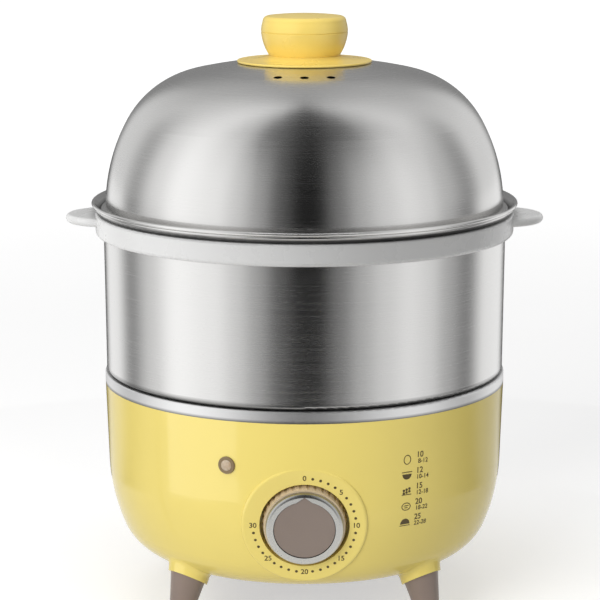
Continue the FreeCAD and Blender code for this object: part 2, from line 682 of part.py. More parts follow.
def timer():
    screw_spots = [vec(x, 0, -POCKET_DEPTH) for x in (-TIMER_SCREW_SPREAD / 2, TIMER_SCREW_SPREAD / 2)]
    body = block(TIMER_WIDTH, TIMER_TALL, TIMER_DEPTH, vec(0, 0, TIMER_BACK))
    socket = rod(SHAFT_RADIUS + RUNNING_FIT, POCKET_BACK - SHAFT_SOCKET, POCKET_BACK)
    hole_radius = TIMER_SCREW_RADIUS + RUNNING_FIT
    hole_end = POCKET_BACK - TIMER_SCREW_DEPTH
    screw_holes = [rod(hole_radius, hole_end, POCKET_BACK, spot.x) for spot in screw_spots]
    nodes["timer_body"] = placed(body.cut([socket] + screw_holes), dial_place)

    length = POCKET_WALL + TIMER_SCREW_DEPTH - SLIP_FIT
    seats = [dial_place.multiply(FreeCAD.Placement(spot, FreeCAD.Rotation())) for spot in screw_spots]
    nodes["timer_screws"] = Part.makeCompound([screw(TIMER_SCREW_RADIUS, length, seat) for seat in seats])

    plate = TIMER_BACK - BELL_STEM
    bell = turned((0, TIMER_BACK), (BELL_STEM_RADIUS, TIMER_BACK), (BELL_STEM_RADIUS, plate),
                  (BELL_RADIUS - BELL_WALL, plate), (BELL_RADIUS - BELL_WALL, plate + BELL_SKIRT),
                  (BELL_RADIUS, plate + BELL_SKIRT), (BELL_RADIUS, plate - BELL_WALL), (0, plate - BELL_WALL))
    nodes["timer_bell"] = placed(bell, dial_place)


# Lamp, gland and wiring

def lamp():
    barrel_back = -LAMP_BARREL
    flange_radius = LAMP_BARREL_RADIUS + LAMP_FLANGE
    bore = LENS_RADIUS + RUNNING_FIT
    edge = (flange_radius - LAMP_EDGE_RADIUS, LAMP_PROUD - LAMP_EDGE_RADIUS)
    bezel = turned((bore, barrel_back), (LAMP_BARREL_RADIUS, barrel_back), (LAMP_BARREL_RADIUS, SEAT_GAP),
                   (flange_radius, SEAT_GAP), (flange_radius, edge[1]),
                   corner_arc(edge, LAMP_EDGE_RADIUS, 0, 90), (bore, LAMP_PROUD))
    nodes["lamp_bezel"] = placed(bezel, lamp_place)
    lens_back = LAMP_PROUD - LENS_LENGTH
    lens_edge = (LENS_RADIUS, LAMP_PROUD)
    lens = turned((0, lens_back), (LENS_RADIUS, lens_back), lens_edge,
                  dome(lens_edge, LAMP_PROUD + LENS_DOME))
    nodes["lamp_lens"] = placed(lens, lamp_place)
    nodes["lamp_bulb"] = placed(rod(BULB_RADIUS, lens_back - BULB_LENGTH, lens_back), lamp_place)


def gland_place():
    """Gland axis straight out of the back, with local zero at the wall's outer face."""
    level = SHELL_BOTTOM + GLAND_HEIGHT
    return FreeCAD.Placement(vec(0, wall_radius_at(level), level), FreeCAD.Rotation(vec(1, 0, 0), -90))


def gland_wall_inset():
    """Depth of the gland's inner flange, clear of the sloping wall behind the lowest edge of the flange."""
    level = SHELL_BOTTOM + GLAND_HEIGHT
    lowest = level - GLAND_RADIUS - GLAND_FLANGE
    return wall_radius_at(level) - wall_radius_at(lowest, SHELL_WALL) + SEAT_GAP


def gland():
    back = -gland_wall_inset()
    inner_end = back - GLAND_FLANGE_THICKNESS
    front = GLAND_SEAT
    nose = front + GLAND_NOSE
    flange_radius = GLAND_RADIUS + GLAND_FLANGE
    body = turned((GLAND_INNER_BORE, inner_end), (flange_radius, inner_end), (flange_radius, back),
                  (GLAND_RADIUS, back), (GLAND_RADIUS, front), (GLAND_NOSE_RADIUS, front),
                  (GLAND_NOSE_RADIUS, nose), (GLAND_BORE, nose), (GLAND_BORE, front),
                  (GLAND_INNER_BORE, front))
    nodes["cord_gland"] = placed(body, gland_place())


def wiring():
    nodes["terminal_block"] = block(BLOCK_WIDTH, BLOCK_DEPTH, BLOCK_HEIGHT,
                                    vec(0, BLOCK_REAR + BLOCK_DEPTH / 2, COVER_TOP))
    block_top = COVER_TOP + BLOCK_HEIGHT
    leads = []
    for side, end in zip((-1, 1), heater_ends()):
        low = vec(end.x, end.y, block_top + LEAD_LEVEL)
        over = vec(side * LEAD_SPREAD, BLOCK_REAR + BLOCK_DEPTH / 2, block_top + LEAD_LEVEL)
        leads.append(lead([end - vec(0, 0, HEATER_PIN_LENGTH), low, over, vec(over.x, over.y, block_top)]))
    timer_exit = dial_place.multVec(vec(LEAD_SPREAD, -TIMER_TALL / 2, POCKET_BACK - TIMER_DEPTH / 2))
    outward = dial_place.Rotation.multVec(vec(0, -1, 0))
    run_level = COVER_TOP + BLOCK_HEIGHT / 2
    drop = timer_exit + outward * ((timer_exit.z - run_level) / -outward.z)
    leads.append(lead([timer_exit, drop, vec(LEAD_SPREAD, BLOCK_REAR, run_level)]))
    nodes["wiring_leads"] = Part.makeCompound(leads)


# Bowl, collar and rack

def steamer_bowl():
    lip = (RIM_RADIUS - RIM_LIP_RADIUS, RIM_TOP - RIM_LIP_RADIUS)
    bead = (RIM_RADIUS - RIM_BEAD_INSET - RIM_BEAD_RADIUS, RIM_TOP - RIM_BEAD_DROP)
    ledge_bottom = LID_SEAT - BOWL_WALL
    bead_low = polar(bead, RIM_BEAD_RADIUS, radians(RIM_BEAD_START_DEG), 1)
    bead_step = corner_arc(bead, RIM_BEAD_RADIUS, RIM_BEAD_START_DEG, RIM_BEAD_END_DEG)
    lip_low = polar(lip, RIM_LIP_RADIUS, radians(RIM_LIP_START_DEG), 1)
    lip_step = corner_arc(lip, RIM_LIP_RADIUS, RIM_LIP_START_DEG, RIM_LIP_END_DEG)
    foot = (BOWL_FOOT_RADIUS - BOWL_CORNER_RADIUS, BOWL_BOTTOM + BOWL_CORNER_RADIUS)
    inner_foot_radius = BOWL_CORNER_RADIUS - BOWL_WALL
    nest_inner = NEST_RADIUS - BOWL_WALL
    nest_bend = (NEST_RADIUS - NEST_CORNER_RADIUS, NEST_BOTTOM + NEST_CORNER_RADIUS)
    floor_top = NEST_BOTTOM + BOWL_WALL
    bowl = turned(
        (0, NEST_BOTTOM), (nest_bend[0], NEST_BOTTOM), corner_arc(nest_bend, NEST_CORNER_RADIUS, -90, 0),
        (NEST_RADIUS, BOWL_BOTTOM), (foot[0], BOWL_BOTTOM), corner_arc(foot, BOWL_CORNER_RADIUS, -90, 0),
        (BOWL_RADIUS, COLLAR_TOP - COLLAR_HEIGHT), (BOWL_RADIUS, ledge_bottom),
        (SEAT_RADIUS + RIM_SHEET, ledge_bottom), bead_low, bead_step, lip_low, lip_step,
        (SEAT_RADIUS, LID_SEAT), (BOWL_INNER_RADIUS, LID_SEAT),
        (BOWL_INNER_RADIUS, COLLAR_TOP - COLLAR_HEIGHT), (BOWL_FOOT_RADIUS - BOWL_WALL, foot[1]),
        corner_arc(foot, inner_foot_radius, 0, -90), (nest_inner, SHOULDER_TOP), (nest_inner, nest_bend[1]),
        corner_arc(nest_bend, NEST_CORNER_RADIUS - BOWL_WALL, 0, -90), (0, floor_top))
    holes = [rod(STEAM_HOLE_RADIUS, NEST_BOTTOM, floor_top)]
    for number in range(1, STEAM_RINGS + 1):
        hole = rod(STEAM_HOLE_RADIUS, NEST_BOTTOM, floor_top, number * STEAM_RING_PITCH)
        holes += around(hole, number * STEAM_HOLES_PER_RING)
    nodes["steamer_bowl"] = bowl.cut(holes)


def bowl_collar():
    bore = BOWL_RADIUS + SLIP_FIT
    outer = bore + COLLAR_THICKNESS
    bottom = COLLAR_TOP - COLLAR_HEIGHT
    low_edge = (outer - COLLAR_EDGE_RADIUS, bottom + COLLAR_EDGE_RADIUS)
    half = COLLAR_EDGE_RADIUS / 2
    high_edge = (outer - half, COLLAR_TOP - half)
    collar = turned((bore, bottom), (low_edge[0], bottom), corner_arc(low_edge, COLLAR_EDGE_RADIUS, -90, 0),
                    (outer, high_edge[1]), corner_arc(high_edge, half, 0, 90), (bore, COLLAR_TOP))

    tip = EAR_TIP / 2
    drop = EAR_ROOT - EAR_TIP
    tip_level = -drop / 2 - tip
    plate = turned((0, 0), (EAR_RADIUS - tip, tip_level + tip),
                   ((EAR_RADIUS, tip_level), (EAR_RADIUS - tip, tip_level - tip)), (0, -EAR_ROOT))
    ears = []
    for side in (-1, 1):
        ear = plate.copy()
        ear.translate(vec(side * (BOWL_RADIUS + EAR_REACH - EAR_RADIUS), 0, COLLAR_TOP))
        ears.append(ear.cut(rod(bore, COLLAR_TOP - EAR_ROOT, COLLAR_TOP)))
    nodes["bowl_collar"] = joined(collar, ears)


def egg_rack():
    low = SHOULDER_TOP + SEAT_GAP
    top = low + RACK_THICKNESS
    radius = BOWL_FOOT_RADIUS - BOWL_CORNER_RADIUS - RACK_CLEARANCE
    plate = rod(radius, low, top)
    egg_holes = [rod(EGG_HOLE_RADIUS, low, top)]
    egg_holes += around(rod(EGG_HOLE_RADIUS, low, top, EGG_RING_RADIUS), EGG_RING_COUNT)
    between = 180.0 / EGG_RING_COUNT
    for circle in (RACK_VENT_INNER, RACK_VENT_OUTER):
        egg_holes += around(rod(RACK_VENT_RADIUS, low, top, circle), EGG_RING_COUNT, between)
    plate = plate.cut(egg_holes)

    middle = top + TAB_STRAIGHT
    tongue = outline((-TAB_HALF_WIDTH, low), (TAB_HALF_WIDTH, low), (TAB_HALF_WIDTH, middle),
                     ((0, middle + TAB_HALF_WIDTH), (-TAB_HALF_WIDTH, middle)))
    tab = tongue.extrude(vec(0, RACK_THICKNESS, 0))
    tab.translate(vec(0, radius - TAB_INSET, 0))
    nodes["egg_rack"] = joined(plate, around(tab, 2, 90))


# Lid and knob

def lid_line(inset):
    """Lid wall line from its skirt to the crown, moved inward: start, arc steps, crown centre and radius."""
    begin = radians(LID_SIDE_START_DEG)
    side_end = radians(LID_SIDE_END_DEG)
    shoulder_end = radians(LID_SHOULDER_END_DEG)
    start = (LID_RADIUS - inset * cos(begin), LID_BOTTOM + LID_SKIRT - inset * sin(begin))
    arcs = [(LID_SIDE_RADIUS - inset, side_end), (LID_SHOULDER_RADIUS - inset, shoulder_end)]
    steps, centre = tangent_arcs(start, begin, arcs, 1)
    crown_radius = LID_SHOULDER_RADIUS - inset + centre[0] / cos(shoulder_end)
    crown_centre = centre[1] - centre[0] * tan(shoulder_end)
    middle = polar((0, crown_centre), crown_radius, (shoulder_end + radians(90)) / 2, 1)
    steps.append((middle, (0, crown_centre + crown_radius)))
    return start, steps, crown_centre, crown_radius


def crown_level(radius, lift=0.0):
    """Height of the lid's crown, or of a surface above it, at a distance from the axis."""
    _, _, centre, crown = lid_line(0.0)
    return centre + sqrt((crown + lift) ** 2 - radius ** 2)


def lid_dome():
    outer_start, outer_steps, _, _ = lid_line(0.0)
    inner_start, inner_steps, _, _ = lid_line(LID_WALL)
    lip_top = LID_BOTTOM + LID_LIP
    lip_radius = SEAT_RADIUS - LID_CLEARANCE
    outside = turned((0, LID_BOTTOM), (LID_RADIUS, LID_BOTTOM), outer_start, *outer_steps)
    hollow = turned((0, LID_BOTTOM), (LID_RADIUS - LID_WALL, LID_BOTTOM), inner_start, *inner_steps)
    rolled_edge = ring(LID_RADIUS - LID_WALL, lip_radius, LID_BOTTOM, lip_top)
    vent_level = crown_level(LID_VENT_CIRCLE)
    vent = rod(LID_VENT_RADIUS, vent_level - LID_VENT_CIRCLE, vent_level + LID_VENT_CIRCLE, LID_VENT_CIRCLE)
    first = -90 - LID_VENT_SPREAD_DEG * (LID_VENT_COUNT - 1) / 2
    holes = [vent.rotated(ORIGIN, UP, first + k * LID_VENT_SPREAD_DEG) for k in range(LID_VENT_COUNT)]
    apex = crown_level(0)
    holes.append(rod(LID_SCREW_RADIUS + SLIP_FIT, apex - 2 * GASKET_RADIUS, apex + GASKET_RADIUS))
    nodes["lid_dome"] = outside.cut(hollow).fuse(rolled_edge).removeSplitter().cut(holes)


def lid_knob():
    apex = crown_level(0)
    hole = LID_SCREW_RADIUS + SLIP_FIT
    gasket_edge = (GASKET_RADIUS, crown_level(GASKET_RADIUS))
    gasket_top = crown_level(0) + GASKET_THICKNESS
    nodes["lid_gasket"] = turned(
        (hole, crown_level(hole)), ((GASKET_RADIUS / 2, crown_level(GASKET_RADIUS / 2)), gasket_edge),
        (GASKET_RADIUS, gasket_top), (hole, gasket_top))

    recess = GASKET_RADIUS + SLIP_FIT
    neck_level = apex + GASKET_THICKNESS + KNOB_NECK_RISE
    edge_low = crown_level(KNOB_FLANGE_RADIUS, SEAT_GAP)
    edge_half = KNOB_FLANGE_EDGE / 2
    under_middle = (recess + KNOB_FLANGE_RADIUS) / 2
    top_start = (KNOB_FLANGE_RADIUS - edge_half, edge_low + KNOB_FLANGE_EDGE)
    top_middle = ((top_start[0] + KNOB_NECK_RADIUS) / 2, (top_start[1] + neck_level) / 2 - KNOB_FLANGE_SAG)
    nodes["lid_knob_base"] = turned(
        (recess, crown_level(recess, SEAT_GAP)),
        ((under_middle, crown_level(under_middle, SEAT_GAP)), (KNOB_FLANGE_RADIUS - edge_half, edge_low)),
        ((KNOB_FLANGE_RADIUS, edge_low + edge_half), top_start),
        (top_middle, (KNOB_NECK_RADIUS, neck_level)), (hole, neck_level), (hole, gasket_top),
        (recess, gasket_top))

    seam = neck_level + KNOB_LOWER_HEIGHT
    swell = (KNOB_RADIUS - KNOB_SWELL_INSET, neck_level + KNOB_SWELL_LEVEL)
    thread = LID_SCREW_RADIUS + RUNNING_FIT
    thread_end = neck_level + LID_SCREW_DEPTH
    nodes["lid_knob_lower"] = turned(
        (thread, neck_level), (KNOB_NECK_RADIUS, neck_level),
        (swell, (KNOB_RADIUS, seam - KNOB_SEAM)), (KNOB_RADIUS - KNOB_SEAM, seam), (0, seam),
        (0, thread_end), (thread, thread_end))

    cap_top = seam + KNOB_CAP_HEIGHT
    side_top = (KNOB_RADIUS - KNOB_CAP_DRAFT, seam + KNOB_CAP_SIDE)
    side_middle = (KNOB_RADIUS - KNOB_CAP_DRAFT / 4, seam + KNOB_CAP_SIDE / 2)
    corner = (side_top[0] - KNOB_CAP_CORNER, side_top[1])
    corner_step = corner_arc(corner, KNOB_CAP_CORNER, 0, KNOB_CAP_CORNER_DEG)
    nodes["lid_knob_cap"] = turned(
        (0, seam), (KNOB_RADIUS - KNOB_SEAM, seam), (KNOB_RADIUS, seam + KNOB_SEAM),
        (side_middle, side_top), corner_step, dome(corner_step[1], cap_top))

    head_level = apex - LID_WALL
    below = FreeCAD.Placement(vec(0, 0, head_level - RUNNING_FIT), HALF_TURN)
    nodes["lid_screw"] = screw(LID_SCREW_RADIUS, thread_end - head_level - SLIP_FIT, below)


def build():
    base_shell()
    legs_and_pads()
    bottom_cover()
    trim_and_pan()
    heater()
    dial()
    timer()
    lamp()
    gland()
    wiring()
    steamer_bowl()
    bowl_collar()
    egg_rack()
    lid_dome()
    lid_knob()
    os.makedirs("parts", exist_ok=True)
    for name, shape in nodes.items():
        shape.exportStep("parts/" + name + ".step")
        print(name, "solids", len(shape.Solids), "valid", shape.isValid(), "volume", round(shape.Volume, 1))


build()
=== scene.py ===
import json
from math import cos, pi, radians, sin

import bpy
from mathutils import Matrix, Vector
from mathutils.bvhtree import BVHTree

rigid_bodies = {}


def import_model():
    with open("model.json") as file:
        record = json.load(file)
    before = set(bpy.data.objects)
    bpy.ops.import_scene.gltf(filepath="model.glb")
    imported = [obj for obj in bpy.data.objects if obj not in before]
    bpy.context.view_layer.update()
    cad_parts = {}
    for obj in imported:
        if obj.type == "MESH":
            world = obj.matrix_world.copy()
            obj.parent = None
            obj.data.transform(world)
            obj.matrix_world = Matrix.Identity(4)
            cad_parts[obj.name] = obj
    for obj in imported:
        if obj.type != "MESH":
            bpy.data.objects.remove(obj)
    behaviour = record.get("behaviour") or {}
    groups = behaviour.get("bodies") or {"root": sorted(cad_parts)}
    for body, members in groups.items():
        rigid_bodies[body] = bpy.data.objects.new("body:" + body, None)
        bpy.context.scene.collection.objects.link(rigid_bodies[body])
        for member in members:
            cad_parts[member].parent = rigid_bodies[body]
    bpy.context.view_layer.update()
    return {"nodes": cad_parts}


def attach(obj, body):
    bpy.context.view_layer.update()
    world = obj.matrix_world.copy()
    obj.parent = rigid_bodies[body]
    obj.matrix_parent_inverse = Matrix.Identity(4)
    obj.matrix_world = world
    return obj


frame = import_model()
cad_nodes = frame["nodes"]
scene = bpy.context.scene
scene.view_settings.view_transform = "Standard"


# Kinds of material. Lengths and levels are in metres.

NOISE_LOW, NOISE_HIGH = 0.3, 0.7  # most of a noise lies between these
PLASTIC_ROUGHNESS_SWING = (0.85, 1.2)
METAL_ROUGHNESS_SWING = (0.8, 1.25)
BRUSH_SHARE = 0.75  # of a metal's tone; smudges make up the rest
VENT_RADIUS_WITH_WALL = 0.0021
VENT_PAINTED_SHADE = 0.02  # painted shade: what is left of the colour on the walls of the vents
FOOT_PAINTED_SHADE = 0.28  # painted shade: what is left along a dark foot
# Painted shade in a groove just above a polished level
GROOVE_LEVELS = (0.2000, 0.2016)
GROOVE_SHADE = 0.25
POLISH = 0.4
POLISH_BLEND = 0.0005


class Look:
    """A material with a Principled shader and short calls for the nodes that feed it."""

    def __init__(self, name):
        self.material = bpy.data.materials.new(name)
        self.material.use_nodes = True
        self.tree = self.material.node_tree
        self.tree.nodes.clear()
        self.shader = self.add("ShaderNodeBsdfPrincipled")
        self.output = self.add("ShaderNodeOutputMaterial")
        self.join(self.shader.outputs[0], self.output.inputs["Surface"])

    def add(self, kind, **settings):
        node = self.tree.nodes.new(kind)
        for key, value in settings.items():
            setattr(node, key, value)
        return node

    def join(self, out, into):
        self.tree.links.new(out, into)

    def feed(self, socket, value):
        """Link an output into a socket, or set the socket to a plain value."""
        if hasattr(value, "is_linked"):
            self.join(value, socket)
        else:
            socket.default_value = value

    def set(self, **sockets):
        """Feed the shader's sockets, named in small letters with underscores."""
        for key, value in sockets.items():
            socket = key.replace("_", " ").title().replace("Ior", "IOR")
            self.feed(self.shader.inputs[socket], value)

    def math(self, operation, a, b=0.0):
        node = self.add("ShaderNodeMath", operation=operation)
        self.feed(node.inputs[0], a)
        self.feed(node.inputs[1], b)
        return node.outputs[0]

    def place(self):
        return self.add("ShaderNodeTexCoord").outputs["Object"]

    def place_xyz(self):
        node = self.add("ShaderNodeSeparateXYZ")
        self.join(self.place(), node.inputs[0])
        return node.outputs

    def height(self):
        return self.place_xyz()["Z"]

    def noise(self, vector, scale, detail=3.0, roughness=0.55):
        node = self.add("ShaderNodeTexNoise")
        self.feed(node.inputs["Vector"], vector)
        node.inputs["Scale"].default_value = scale
        node.inputs["Detail"].default_value = detail
        node.inputs["Roughness"].default_value = roughness
        return node.outputs["Fac"]

    def spread(self, value, low, high, from_low=NOISE_LOW, from_high=NOISE_HIGH, curve="LINEAR"):
        """Map a value from one range onto another, by default from the range of a noise."""
        node = self.add("ShaderNodeMapRange", interpolation_type=curve)
        self.feed(node.inputs["Value"], value)
        node.inputs["From Min"].default_value = from_low
        node.inputs["From Max"].default_value = from_high
        node.inputs["To Min"].default_value = low
        node.inputs["To Max"].default_value = high
        return node.outputs["Result"]

    def ramp(self, value, stops, interpolation="LINEAR"):
        node = self.add("ShaderNodeValToRGB")
        node.color_ramp.interpolation = interpolation
        while len(node.color_ramp.elements) < len(stops):
            node.color_ramp.elements.new(0.5)
        for element, (at, colour) in zip(node.color_ramp.elements, stops):
            element.position = at
            element.color = (*colour, 1.0)
        self.feed(node.inputs["Fac"], value)
        return node.outputs["Color"]

    def drift(self, noise, dark, light):
        """Colour that follows a noise from dark to light."""
        return self.ramp(noise, [(NOISE_LOW, dark), (NOISE_HIGH, light)])

    def dimmed(self, colour, factor):
        scaled = self.add("ShaderNodeVectorMath", operation="SCALE")
        self.join(colour, scaled.inputs[0])
        self.feed(scaled.inputs["Scale"], factor)
        return scaled.outputs[0]

    def bump(self, height, strength, distance):
        node = self.add("ShaderNodeBump")
        node.inputs["Strength"].default_value = strength
        node.inputs["Distance"].default_value = distance
        self.feed(node.inputs["Height"], height)
        self.join(node.outputs["Normal"], self.shader.inputs["Normal"])

    def around_axis(self, along, across):
        """Coordinates that stretch a noise into fine rings about the vertical axis."""
        x, y, z = self.place_xyz()
        angle = self.math("MULTIPLY", self.math("ARCTAN2", y, x), along)
        squares = self.math("ADD", self.math("MULTIPLY", x, x), self.math("MULTIPLY", y, y))
        radius = self.math("MULTIPLY", self.math("SQRT", squares), across)
        level = self.math("MULTIPLY", z, across)
        joined = self.add("ShaderNodeCombineXYZ")
        for socket, value in zip(joined.inputs, (angle, radius, level)):
            self.feed(socket, value)
        return joined.outputs[0]

    def clear_of(self, holes, radius):
        """0 within a radius of any of the upright holes, given as x and y, and 1 elsewhere."""
        flat = self.add("ShaderNodeVectorMath", operation="MULTIPLY")
        self.join(self.place(), flat.inputs[0])
        flat.inputs[1].default_value = (1, 1, 0)
        clear = 1.0
        for x, y in holes:
            away = self.add("ShaderNodeVectorMath", operation="DISTANCE")
            self.join(flat.outputs[0], away.inputs[0])
            away.inputs[1].default_value = (x, y, 0)
            outside = self.math("GREATER_THAN", away.outputs["Value"], radius)
            clear = self.math("MULTIPLY", clear, outside)
        return clear


def shades(colour, swing):
    """A colour made darker, and lighter, by a share of itself."""
    return [tuple(min(1.0, c * factor) for c in colour) for factor in (1 - swing, 1 + swing)]


def plastic(name, colour, roughness, grain=900.0, grain_depth=0.000015, gloss=0.5, coat=0.0,
            mottle=0.03):
    """Moulded plastic: faint colour drift, a fine moulded grain and uneven gloss."""
    look = Look(name)
    place = look.place()
    low, high = (roughness * swing for swing in PLASTIC_ROUGHNESS_SWING)
    tone = look.noise(place, scale=26.0, detail=4.0)
    look.set(base_color=look.drift(tone, *shades(colour, mottle)))
    look.set(roughness=look.spread(look.noise(place, scale=60.0, detail=5.0), low, high))
    look.set(specular_ior_level=gloss)
    if coat:
        look.set(coat_weight=coat, coat_roughness=0.04)
    look.bump(look.noise(place, grain, detail=2.0), strength=0.25, distance=grain_depth)
    return look.material


def rubber(name, colour, roughness=0.75):
    return plastic(name, colour, roughness, grain=2200.0, grain_depth=0.00004, gloss=0.3,
                   mottle=0.08)


def metal(name, colour, roughness, ringed=True, lines=2600.0, streak=0.06, depth=0.00001,
          polished_above=None, dark_foot=None, dark_holes=()):
    """Brushed metal with fine lines, about the vertical axis when ringed.

    It can be smoother above a level, with painted shade in a groove there, and darkened with
    painted shade along its foot or on the walls of upright holes.
    """
    look = Look(name)
    if ringed:
        rings = look.around_axis(along=2.2, across=lines)
        brush = look.noise(rings, scale=1.0, detail=5.0, roughness=0.7)
        tangent = look.add("ShaderNodeTangent", direction_type="RADIAL", axis="Z")
        look.join(tangent.outputs[0], look.shader.inputs["Tangent"])
        look.set(anisotropic=0.7, anisotropic_rotation=0.25)
    else:
        brush = look.noise(look.place(), scale=lines / 3, detail=4.0)
    smudge = look.noise(look.place(), scale=14.0, detail=5.0)
    tone = look.math("ADD", look.math("MULTIPLY", brush, BRUSH_SHARE),
                     look.math("MULTIPLY", smudge, 1 - BRUSH_SHARE))
    paint = look.drift(tone, *shades(colour, streak))
    if dark_holes:
        # Painted shade: the walls of upright holes are darkened nearly to black.
        clear = look.clear_of(dark_holes, VENT_RADIUS_WITH_WALL)
        paint = look.dimmed(paint, look.spread(clear, VENT_PAINTED_SHADE, 1.0, 0.0, 1.0))
    if dark_foot:
        # Painted shade: a dark band along the foot, where the part meets the one below.
        paint = look.dimmed(paint, look.spread(look.height(), FOOT_PAINTED_SHADE, 1.0, *dark_foot))
    low, high = (roughness * swing for swing in METAL_ROUGHNESS_SWING)
    rough = look.spread(tone, low, high)
    if polished_above:
        height = look.height()
        edge = (polished_above - POLISH_BLEND, polished_above + POLISH_BLEND)
        rough = look.math("MULTIPLY", rough, look.spread(height, 1.0, POLISH, *edge))
        # Painted shade: a narrow band just above the polished level is darkened, as a groove in
        # shade.
        below = look.math("LESS_THAN", height, polished_above)
        groove = look.spread(height, GROOVE_SHADE, 1.0, *GROOVE_LEVELS)
        paint = look.dimmed(paint, look.math("MAXIMUM", below, groove))
    look.set(base_color=paint, metallic=1.0, roughness=rough)
    look.bump(brush, strength=0.12, distance=depth)
    return look.material


# Materials of the CAD nodes

YELLOW = (0.835, 0.68, 0.19)
KNOB_YELLOW = (0.90, 0.68, 0.17)
TAUPE = (0.235, 0.18, 0.153)
STEEL = (0.74, 0.735, 0.725)
RIM_LEVEL = 0.1975
# Levels of the painted shade along the foot of the bowl and of the trim ring.
BOWL_FOOT = (0.1202, 0.1224)
TRIM_FOOT = (0.1131, 0.1146)
# The lid's vents, whose walls get painted shade.
VENT_CIRCLE = 0.050
VENTS = [(VENT_CIRCLE * sin(radians(turn)), -VENT_CIRCLE * cos(radians(turn)))
         for turn in (-14.6, 0.0, 14.6)]
CORNERS = ("front_left", "front_right", "rear_left", "rear_right")

looks = {
    plastic("shell_yellow", YELLOW, 0.11, gloss=0.25, mottle=0.012): ["base_shell"],
    plastic("knob_yellow", KNOB_YELLOW, 0.30, coat=0.15, mottle=0.015):
        ["lid_knob_base", "lid_knob_lower", "lid_knob_cap"],
    plastic("collar_white", (0.72, 0.72, 0.715), 0.28, mottle=0.012): ["bowl_collar"],
    plastic("leg_taupe", TAUPE, 0.36, mottle=0.05): ["leg_" + corner for corner in CORNERS],
    plastic("cover_taupe", (0.24, 0.185, 0.16), 0.5, grain=1500.0, mottle=0.06): ["bottom_cover"],
    plastic("dial_taupe", (0.235, 0.185, 0.157), 0.42, grain=1800.0, mottle=0.04): ["dial_cap"],
    plastic("grip_champagne", (0.66, 0.53, 0.35), 0.34, grain=1600.0, gloss=0.6): ["dial_grip"],
    plastic("lamp_taupe", (0.21, 0.145, 0.07), 0.22, gloss=0.7): ["lamp_bezel"],
    plastic("rack_white", (0.80, 0.80, 0.78), 0.35): ["egg_rack"],
    plastic("inner_black", (0.035, 0.035, 0.037), 0.5, mottle=0.15): ["timer_body", "cord_gland"],
    plastic("inner_white", (0.70, 0.69, 0.65), 0.45):
        ["terminal_block", "thermal_fuse", "thermostat"],
    plastic("wire_red", (0.45, 0.03, 0.02), 0.45, mottle=0.08): ["wiring_leads"],
    rubber("foot_rubber", (0.09, 0.082, 0.078)): ["foot_pad_" + corner for corner in CORNERS],
    rubber("silicone", (0.62, 0.60, 0.56), 0.55): ["pan_seal", "lid_gasket"],
    metal("lid_steel", STEEL, 0.24, streak=0.025, depth=0.000004, dark_holes=VENTS): ["lid_dome"],
    metal("bowl_steel", STEEL, 0.24, streak=0.025, depth=0.000004, polished_above=RIM_LEVEL,
          dark_foot=BOWL_FOOT): ["steamer_bowl"],
    metal("pan_steel", (0.70, 0.69, 0.68), 0.34): ["heating_pan"],
    metal("trim_silver", (0.86, 0.86, 0.86), 0.42, ringed=False, lines=5200.0, streak=0.03,
          dark_foot=TRIM_FOOT): ["trim_ring"],
    metal("dial_silver", (0.47, 0.47, 0.455), 0.30, ringed=False, lines=5200.0): ["dial_ring"],
    metal("heater_aluminium", (0.62, 0.62, 0.63), 0.45): ["heat_spreader"],
    metal("heater_steel", (0.42, 0.40, 0.38), 0.40, ringed=False): ["heating_tube"],
    metal("screw_steel", (0.60, 0.60, 0.61), 0.30, ringed=False):
        ["leg_screws", "bottom_screws", "timer_screws", "lid_screw", "timer_shaft"],
    metal("bell_brass", (0.72, 0.52, 0.22), 0.28, ringed=False): ["timer_bell"],
}


def lamp_looks():
    lens = Look("lamp_lens")
    cloud = lens.noise(lens.place(), scale=700.0)
    lens.set(base_color=lens.drift(cloud, (0.60, 0.46, 0.30), (0.78, 0.64, 0.48)),
             roughness=lens.spread(cloud, 0.10, 0.22),
             transmission_weight=0.35, specular_ior_level=0.6)
    lens.bump(cloud, strength=0.15, distance=0.00003)
    bulb = Look("lamp_bulb")
    cloud = bulb.noise(bulb.place(), scale=500.0)
    bulb.set(base_color=bulb.drift(cloud, (0.75, 0.30, 0.12), (0.85, 0.45, 0.22)),
             roughness=bulb.spread(cloud, 0.12, 0.25))
    return {lens.material: ["lamp_lens"], bulb.material: ["lamp_bulb"]}


looks.update(lamp_looks())
for material, names in looks.items():
    for name in names:
        cad_nodes[name].data.materials.clear()
        cad_nodes[name].data.materials.append(material)


# Printed marks on the housing

INK_LIFT = 0.00007
STROKE_GROWTH = 0.016  # of a number's height, added round its strokes
RIGHT = Vector((1.0, 0.0, 0.0))

DIAL_CENTRE = Vector((0.0, -0.0945, 0.0625))
DIAL_TILT = radians(10.0)
DIAL_OUT = Vector((0.0, -cos(DIAL_TILT), -sin(DIAL_TILT)))
DIAL_UP = Vector((0.0, -sin(DIAL_TILT), cos(DIAL_TILT)))
SCALE_RADIUS = 0.0244
SCALE_MINUTES = 30
SCALE_STEP_DEG = 9.0
DIGIT_EVERY = 5
DIGIT_HEIGHT = 0.0036
DOT_SIZE = 0.00135

MARKS_AZIMUTH = radians(29.2)
MARKS_LEVEL = 0.0925
MARKS_PITCH = 0.0077
MARKS_WALL_RADIUS = 0.0975
OUTSIDE_RADIUS = 0.2
LINE = 0.00042
MINUTES_HEIGHT = 0.0040
MINUTES_AT = (0.0070, 0.0017)
SPAN_HEIGHT = 0.0031
SPAN_AT = (0.0088, -0.0015)
MINUTES = (("10", "8-12"), ("12", "10-14"), ("15", "12-18"), ("20", "18-22"), ("25", "22-28"))

